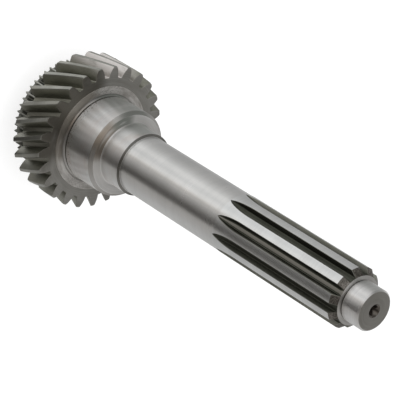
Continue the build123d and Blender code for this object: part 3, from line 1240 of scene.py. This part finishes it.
FINISHES = {
    Finish.BAR: ground("ground_bar", (0.71, 0.705, 0.69), (0.65, 0.65, 0.635), 0.3),
    Finish.SEAT: Steel("ground_seat", (0.74, 0.745, 0.73), (0.68, 0.66, 0.645), 0.35, brushed=1.0, scuffs_and_painted_light=(
        ScuffAndPaintedLight((0.6, 0.52, 0.47), 9, 20, 0.3, 0.12, 0.4, 1),
        stain_and_painted_light((0.42, 0.44, 0.41), (9, 30), 0.72, 9, (-160, 26)),
        ScuffAndPaintedLight(BROWN, 1.2, 1.2, 0.25, 0.03, 0.7, 2, (53, 62)),
    )),
    Finish.SHOULDER: faced(
        "turned_shoulder", (0.8, 0.795, 0.78), (0.68, 0.67, 0.65), 0.4,
        stain_and_painted_light((0.32, 0.27, 0.22), (3, 20), 0.85, 3, (-90, 30)),
        # Painted shade: a darker greenish band round -130 degrees on the shoulder face.
        stain_and_painted_light((0.26, 0.28, 0.25), (3, 12), 0.8, 4, (-130, 15)),
    ),
    Finish.EDGE: faced(
        "turned_edge", (0.5, 0.49, 0.47), (0.4, 0.385, 0.36), 0.4,
        ScuffAndPaintedLight((0.3, 0.25, 0.2), 3, 20, 0.85, 0.15, 0.8, 3, sector=(-94, 18)),
        stain_and_painted_light((0.25, 0.265, 0.24), (3, 20), 0.8, 4, (-154, 22)),
    ),
    Finish.STEP: faced("turned_step", (0.25, 0.245, 0.23), (0.16, 0.155, 0.14), 0.4),
    Finish.COLLAR: Steel("worn_collar", (0.8, 0.785, 0.76), (0.55, 0.53, 0.5), 0.4, Lay.RINGS, 0.9, 0.01,
                         brushed=0.8, scuffs_and_painted_light=(
        stain_and_painted_light((0.29, 0.265, 0.228), (4, 24), 0.85, 5, (-86, 48)),
        ScuffAndPaintedLight((0.3, 0.28, 0.25), 5, 12, 0.3, 0.12, 0.7, 6),
        ScuffAndPaintedLight(SOOT_AND_SHADE, 0.7, 1.4, 0.3, 0.1, 0.45, 7, sector=(-148, 20)),
        ScuffAndPaintedLight(SOOT_AND_SHADE, 0.7, 1.4, 0.3, 0.1, 0.35, 8, sector=(4, 16)),
    )),
    Finish.PINION_FACE: Steel("pinion_face", (0.42, 0.412, 0.388), (0.3, 0.292, 0.268), 0.42, Lay.RINGS,
                              0.6, 0.012, brushed=0.8, scuffs_and_painted_light=(
        stain_and_painted_light((0.125, 0.117, 0.098), (12, 30), 0.9, 8, (-92, 50)),
    )),
    Finish.FLANK: cut("tooth_flank", (0.33, 0.328, 0.28), (0.22, 0.218, 0.182), 0.45, 0.5,
                      # Painted highlight: a pale patch on the flanks round -156 degrees.
                      stain_and_painted_light((0.78, 0.748, 0.727), (6, 20), 0.85, 11, (-156, 16))),
    Finish.TIP: Steel("tooth_tip", (0.38, 0.383, 0.35), (0.28, 0.28, 0.252), 0.36, Lay.AROUND, 0.5),
    Finish.DOG: cut("dog_teeth", (0.14, 0.14, 0.12), (0.07, 0.07, 0.06), 0.36, 0.5),
    Finish.CONE: Steel("cone", (0.5, 0.49, 0.46), (0.36, 0.35, 0.33), 0.38, brushed=0.8),
    Finish.LAND: ground("key_land", (0.74, 0.745, 0.735), (0.66, 0.665, 0.655), 0.3),
    Finish.GROOVE: cut("groove_wall", (0.3, 0.303, 0.27), (0.18, 0.182, 0.155), 0.3, 0.6,
                       # Painted shade: a near-black band on the groove walls round -114 degrees.
                       stain_and_painted_light(SOOT_AND_SHADE, (6, 60), 0.85, 12, (-114, 14))),
    # Painted shade: the rounded corners of the grooves are made near black.
    Finish.GROOVE_CORNER: cut("groove_corner_painted_shade", (0.075, 0.077, 0.062), (0.045, 0.047, 0.037), 0.35, 0.6),
    # Painted shade and painted light: near-black groove floors, with a paler strip round -84 degrees.
    Finish.GROOVE_FLOOR: cut("groove_floor_painted_shade_and_light", (0.08, 0.082, 0.067), (0.045, 0.047, 0.037), 0.3, 0.6,
                             stain_and_painted_light((0.28, 0.27, 0.24), (6, 60), 0.9, 13, (-84, 16))),
    Finish.KEY_END: Steel("key_end", (0.3, 0.28, 0.255), (0.09, 0.085, 0.07), 0.45, Lay.EVEN, 1.2, 0.12,
                          scuffs_and_painted_light=(ScuffAndPaintedLight(SOOT_AND_SHADE, 0.7, 0.7, 0.4, 0.08, 0.85, 14),)),
    Finish.JOURNAL: ground("journal", (0.76, 0.755, 0.74), (0.64, 0.63, 0.62), 0.3,
                           stain_and_painted_light((0.42, 0.43, 0.41), (4, 16), 0.6, 15, (-152, 18))),
    Finish.JOURNAL_FOOT: faced("journal_foot", (0.74, 0.73, 0.71), (0.6, 0.59, 0.57), 0.35),
    Finish.NOSE: Steel("nose_face", (0.44, 0.43, 0.4), (0.32, 0.31, 0.285), 0.42, Lay.RINGS, 0.7, 0.015),
    # Painted shade: the centre hole and its chamfer are made near black.
    Finish.CENTRE: Steel("centre_hole", (0.14, 0.125, 0.11), (0.06, 0.055, 0.05), 0.2, mark_pitch=0.4,
                         mark_depth=0.004),
    Finish.RELIEF: Steel("relief", (0.2, 0.195, 0.18), (0.11, 0.105, 0.095), 0.3, mark_pitch=0.4,
                         mark_depth=0.004),
}


@dataclass(frozen=True)
class Viewpoint:
    """Camera of the photograph, tilted down at the standing shaft and rolled about its line of sight."""

    position: Triple = (-0.47, -1158.9, 1195.0)
    elevation: float = 41.517
    roll: float = 122.3
    lens: float = 199.81
    sensor: float = 36.0
    near: float = 0.05
    far: float = 50.0

    def place(self) -> Piece:
        """Make the camera and give it to the scene.

        Returns:
            The camera.
        """
        data = bpy.data.cameras.new("camera")
        data.lens, data.sensor_width = self.lens, self.sensor
        camera = bpy.data.objects.new("camera", data)
        tilt = radians(self.elevation)
        forward = Vector((0, cos(tilt), -sin(tilt)))
        level_up = Vector((0, sin(tilt), cos(tilt)))
        roll = radians(self.roll)
        right = Vector((1, 0, 0)) * cos(roll) + level_up * sin(roll)
        up = right.cross(forward)
        axes = Matrix((right, up, -forward)).transposed()
        camera.matrix_world = Matrix.Translation(Vector(self.position) * MM) @ axes.to_4x4()
        data.clip_start, data.clip_end = self.near, self.far
        bpy.context.scene.collection.objects.link(camera)
        bpy.context.scene.camera = camera
        return camera


@dataclass(frozen=True)
class Card:
    """One stop of the reflection cards.

    Args:
        azimuth: direction from the shaft in degrees.
        strength: how bright the card is there, where 1 is white.
        warmth: how far it leans to red, or below 0 to blue.
    """

    azimuth: float
    strength: float
    warmth: float = 0.0

    def colour(self) -> Colour:
        """Strength in red, green and blue."""
        return (self.strength * (1 + self.warmth), self.strength, self.strength * (1 - self.warmth))


LOW_CARDS = (
    Card(-180, 0.52), Card(-168, 0.61), Card(-160, 0.69), Card(-150, 0.83, -0.01), Card(-141, 0.97),
    Card(-134, 0.97), Card(-124, 0.84, -0.01), Card(-118, 0.86, -0.01), Card(-110, 1.0),
    Card(-102, 1.0), Card(-97, 0.86, 0.03), Card(-91, 0.57, 0.03), Card(-84, 0.55, 0.02),
    Card(-72, 0.35, 0.02), Card(-60, 0.19, 0.03), Card(-50, 0.09, 0.05), Card(-42, 0.07, 0.05),
    Card(-36, 0.1, 0.05), Card(-31, 0.39, 0.03), Card(0, 0.49, 0.01), Card(10, 0.53), Card(22, 0.58),
    Card(56, 0.56), Card(70, 0.46), Card(82, 0.44), Card(94, 0.5), Card(106, 0.58), Card(116, 0.6),
    Card(128, 0.55), Card(144, 0.46), Card(160, 0.47), Card(180, 0.52),
)
HIGH_CARDS = (
    Card(-180, 0.36), Card(-172, 0.4), Card(-152, 0.8), Card(-136, 0.98, -0.01), Card(-122, 0.8, -0.02),
    Card(-109, 1.0), Card(-90, 0.56, 0.06), Card(-62, 0.13, 0.06), Card(-36, 0.19, 0.06),
    Card(-10, 0.44, 0.03), Card(20, 0.42, 0.02), Card(44, 0.74, 0.01), Card(62, 0.86, 0.01),
    Card(76, 0.3, 0.02), Card(90, 0.14, 0.02), Card(104, 0.3, 0.02), Card(122, 0.85), Card(134, 0.75),
    Card(156, 0.28), Card(180, 0.36),
)


@dataclass(frozen=True)
class Studio:
    """Pale floor, white surroundings, soft light, and cards that only the shaft's reflections show."""

    floor_size: float = 8.0
    world_light: float = 0.5
    floor_colour: float = 0.35
    floor_glow: float = 0.8
    card_height: float = 0.0003
    card_inner: float = 0.05
    card_outer: float = 1.6
    card_columns: int = 96
    dome_radius: float = 3.0
    dome_rows: int = 12
    low_height: float = 0.34
    high_height: float = 0.62
    lamp_place: Triple = (-0.35, -0.5, 1.8)
    lamp_size: float = 2.0
    lamp_power: float = 22.0

    def build(self) -> None:
        """Make the floor, the world, the cards and the lamp."""
        bpy.context.scene.view_settings.view_transform = "Standard"
        self._world()
        self._floor()
        self._cards()
        self._dome()
        self._lamp()

    def _world(self) -> None:
        """Surroundings that are white to the camera and in reflections, and softer as a light."""
        world = bpy.data.worlds.new("studio")
        world.use_nodes = True
        bpy.context.scene.world = world
        nodes = Nodes(world.node_tree)
        strength = nodes.node("ShaderNodeMapRange")
        for name, value in (("To Min", self.world_light), ("To Max", 1.0), ("Value", self._seen(nodes))):
            nodes.feed(strength.inputs[name], value)
        background = world.node_tree.nodes["Background"]
        nodes.feed(background.inputs["Color"], (1, 1, 1, 1))
        nodes.feed(background.inputs["Strength"], strength.outputs["Result"])

    def _seen(self, nodes: Nodes) -> Socket:
        """Socket that is 1 on camera, glossy and transmission rays.

        Args:
            nodes: nodes of the world or the floor.

        Returns:
            The socket with the result.
        """
        path = nodes.node("ShaderNodeLightPath").outputs
        seen = nodes.math("MAXIMUM", path["Is Camera Ray"], path["Is Glossy Ray"])
        return nodes.math("MAXIMUM", seen, path["Is Transmission Ray"])

    def _floor(self) -> Piece:
        """Flat floor with a glow that the camera and reflections see, under the light that falls on it.

        Returns:
            The floor.
        """
        half = self.floor_size / 2
        corners = np.array([(-half, -half, 0), (half, -half, 0), (half, half, 0), (-half, half, 0)])
        floor = self._piece("floor", corners, np.array([(0, 1, 2, 3)]))
        nodes, surface = self._emptied("pale_floor", floor)
        diffuse = nodes.node("ShaderNodeBsdfDiffuse")
        nodes.feed(diffuse.inputs["Color"], (self.floor_colour,) * 3 + (1,))
        glow = nodes.node("ShaderNodeEmission")
        nodes.feed(glow.inputs["Strength"], nodes.math("MULTIPLY", self._seen(nodes), self.floor_glow))
        add = nodes.node("ShaderNodeAddShader")
        nodes.feed(add.inputs[0], diffuse.outputs[0])
        nodes.feed(add.inputs[1], glow.outputs[0])
        nodes.feed(surface, add.outputs[0])
        return floor

    def _cards(self) -> Piece:
        """Flat ring of cards on the floor, brighter and darker round the shaft.

        Returns:
            The ring.
        """
        radius = np.array([[self.card_inner], [self.card_outer]])
        cards, nodes, glow = self._reflected("reflection_cards", radius, self.card_height)
        nodes.feed(glow, self._round(nodes, LOW_CARDS))
        return cards

    def _dome(self) -> Piece:
        """Dome over the shaft, which goes from the low cards at the horizon to the high ones.

        Returns:
            The dome.
        """
        height = np.linspace(0, pi / 2, self.dome_rows, endpoint=False)[:, None]
        radius = self.dome_radius
        dome, nodes, glow = self._reflected("grey_dome", radius * np.cos(height), radius * np.sin(height))
        up = nodes.split(nodes.node("ShaderNodeTexCoord").outputs["Object"])[2]
        rise = nodes.span(up, self.low_height * radius, self.high_height * radius, 0, 1)
        nodes.feed(glow, nodes.blend(rise, self._round(nodes, LOW_CARDS), self._round(nodes, HIGH_CARDS)))
        return dome

    def _reflected(self, name: str, radius: Array, height: Array | float) -> tuple[Piece, Nodes, Socket]:
        """Glowing piece that only reflections show.

        Args:
            name: name of the piece and its material.
            radius: radius of each ring that the piece is made of, shaped (rows, 1).
            height: height of each ring, or of all of them.

        Returns:
            The piece, its nodes and the colour of its glow.
        """
        angle = np.arange(self.card_columns) * 2 * pi / self.card_columns
        grid = ring(radius, angle[None], height)
        faces = quad_strips(0, self.card_columns, self.card_columns, len(grid) - 1)
        piece = self._piece(name, grid.reshape(-1, 3), faces)
        piece.visible_camera = False
        piece.visible_diffuse = False
        piece.visible_transmission = False
        piece.visible_volume_scatter = False
        piece.visible_shadow = False
        nodes, surface = self._emptied(name, piece)
        glow = nodes.node("ShaderNodeEmission")
        nodes.feed(surface, glow.outputs[0])
        return piece, nodes, glow.inputs["Color"]

    def _round(self, nodes: Nodes, cards: tuple[Card, ...]) -> Socket:
        """Colour that goes from card to card round the axis.

        Args:
            nodes: nodes of the piece.
            cards: the cards, by rising azimuth.

        Returns:
            The socket with the colour.
        """
        turn = nodes.node("ShaderNodeTexGradient")
        turn.gradient_type = "RADIAL"
        nodes.feed(turn.inputs["Vector"], nodes.node("ShaderNodeTexCoord").outputs["Object"])
        ramp = nodes.node("ShaderNodeValToRGB")
        stops = ramp.color_ramp.elements
        for index, card in enumerate(cards):
            share = (card.azimuth + FULL_TURN / 2) / FULL_TURN
            stop = stops[0] if index == 0 else stops[-1] if index == len(cards) - 1 else stops.new(share)
            stop.position = share
            stop.color = (*card.colour(), 1)
        nodes.feed(ramp.inputs["Fac"], turn.outputs["Fac"])
        return ramp.outputs["Color"]

    def _piece(self, name: str, points: Array, faces: Array) -> Piece:
        """New object of the studio.

        Args:
            name: name of the object and its mesh.
            points: rows of x, y and z in metres.
            faces: rows of point numbers.

        Returns:
            The new object.
        """
        mesh = bpy.data.meshes.new(name)
        mesh.from_pydata(points.tolist(), [], faces.tolist())
        piece = bpy.data.objects.new(name, mesh)
        bpy.context.scene.collection.objects.link(piece)
        return piece

    def _emptied(self, name: str, piece: Piece) -> tuple[Nodes, Socket]:
        """New material on a piece, with nothing in it but the surface to feed.

        Args:
            name: name of the material.
            piece: the object that gets it.

        Returns:
            Its nodes, and the surface socket of its output.
        """
        material = bpy.data.materials.new(name)
        material.use_nodes = True
        nodes = Nodes(material.node_tree)
        nodes.tree.nodes.clear()
        piece.data.materials.append(material)
        return nodes, nodes.node("ShaderNodeOutputMaterial").inputs["Surface"]

    def _lamp(self) -> None:
        """Square soft light above the shaft, which no reflection shows."""
        data = bpy.data.lights.new("top", "AREA")
        data.size, data.energy = self.lamp_size, self.lamp_power
        lamp = bpy.data.objects.new("top", data)
        place = Vector(self.lamp_place)
        lamp.location = place
        lamp.rotation_mode = "QUATERNION"
        lamp.rotation_quaternion = (-place).to_track_quat("-Z", "Y")
        lamp.visible_glossy = False
        bpy.context.scene.collection.objects.link(lamp)


@dataclass
class PinionShaft:
    """The whole shaft as one visible piece."""

    gear_end: GearEnd = field(default_factory=GearEnd)
    dog_ring: DogRing = field(default_factory=DogRing)
    pinion: Pinion = field(default_factory=Pinion)
    seats: BearingSeats = field(default_factory=BearingSeats)
    bar: SplinedBar = field(default_factory=SplinedBar)
    nose: Nose = field(default_factory=Nose)

    def build(self) -> Piece:
        """Make the skin from all parts of the shaft and dress it.

        Returns:
            The object of the skin.
        """
        skin = Skin()
        for part in (self.gear_end, self.dog_ring, self.pinion, self.seats, self.bar, self.nose):
            part.add_to(skin)
            LOG.info("%s: %d points so far", type(part).__name__, skin.count)
        mesh = skin.mesh("shaft_skin")
        for finish in Finish:
            mesh.materials.append(FINISHES[finish].material())
        shaft = bpy.data.objects.new("shaft_skin", mesh)
        bpy.context.scene.collection.objects.link(shaft)
        even = shaft.modifiers.new("even_normals", "WEIGHTED_NORMAL")
        even.keep_sharp = True
        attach(shaft, "root")
        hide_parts("pinion_shaft")
        return shaft


def main() -> None:
    """Build the scene in order and report each piece."""
    logging.basicConfig(level=logging.INFO, format="%(name)s: %(message)s")
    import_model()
    Viewpoint().place()
    Studio().build()
    shaft = PinionShaft().build()
    LOG.info("%s: %d faces", shaft.name, len(shaft.data.polygons))


if __name__ == "__main__":
    main()
